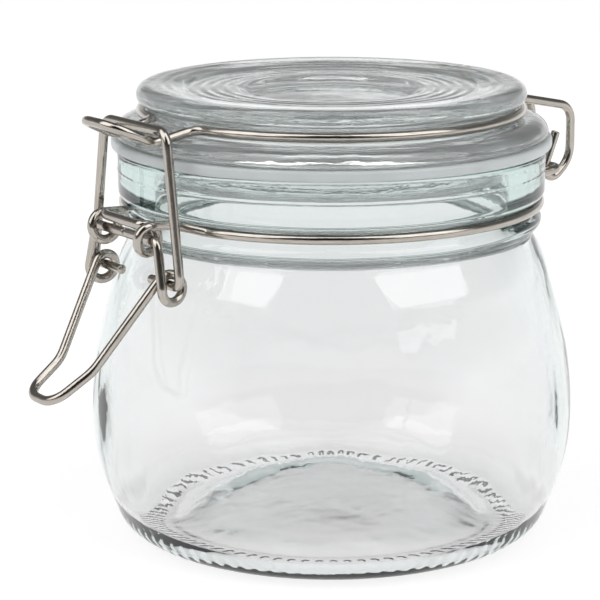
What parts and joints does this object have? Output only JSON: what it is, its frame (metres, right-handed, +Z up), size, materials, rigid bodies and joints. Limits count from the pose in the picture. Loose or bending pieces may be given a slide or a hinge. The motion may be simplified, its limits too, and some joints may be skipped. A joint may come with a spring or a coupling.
{
  "type": "lidded glass canister",
  "caption": "Squat round glass canister with a rubber-sealed glass lid, hinged and clamped by a wire swing-top closure with a folding lever.",
  "frame": {"origin": "on the table under the middle of the bounding box; the jar's axis is parallel to +Z, a few millimetres towards +Y", "axes": "+Z up, -Y towards the lever and bail, +Y towards the lid hinge, +X to the right seen from the lever side"},
  "size_m": [0.1054, 0.1392, 0.0975],
  "materials": {
    "clear_glass": "clear, smooth, faintly green in the thick parts",
    "clear_rubber": "translucent, matte",
    "steel_wire": "bright drawn wire, lightly polished"
  },
  "bodies": {
    "jar": {"glass_jar": "clear_glass", "neck_hoop": "steel_wire"},
    "lid": {"glass_lid": "clear_glass", "sealing_ring": "clear_rubber", "lid_hoop": "steel_wire"},
    "lever": {"closing_lever": "steel_wire"},
    "bail": {"locking_bail": "steel_wire"}
  },
  "joints": [
    {"name": "lid_hinge", "type": "hinge", "parent": "jar", "child": "lid", "pos_m": [0, 0.06334, 0.0736], "axis": [-1, 0, 0], "range_deg": [0, 110]},
    {"name": "lever_pivot", "type": "hinge", "parent": "jar", "child": "lever", "pos_m": [0, -0.04746, 0.0709], "axis": [-1, 0, 0], "range_deg": [0, 120]},
    {"name": "bail_swing", "type": "hinge", "parent": "lever", "child": "bail", "pos_m": [0, -0.04516, 0.0619], "axis": [1, 0, 0], "range_deg": [0, 84]}
  ],
  "couplings": [
    {"joint": "bail_swing", "follows": "lever_pivot", "ratio": 0.7}
  ]
}
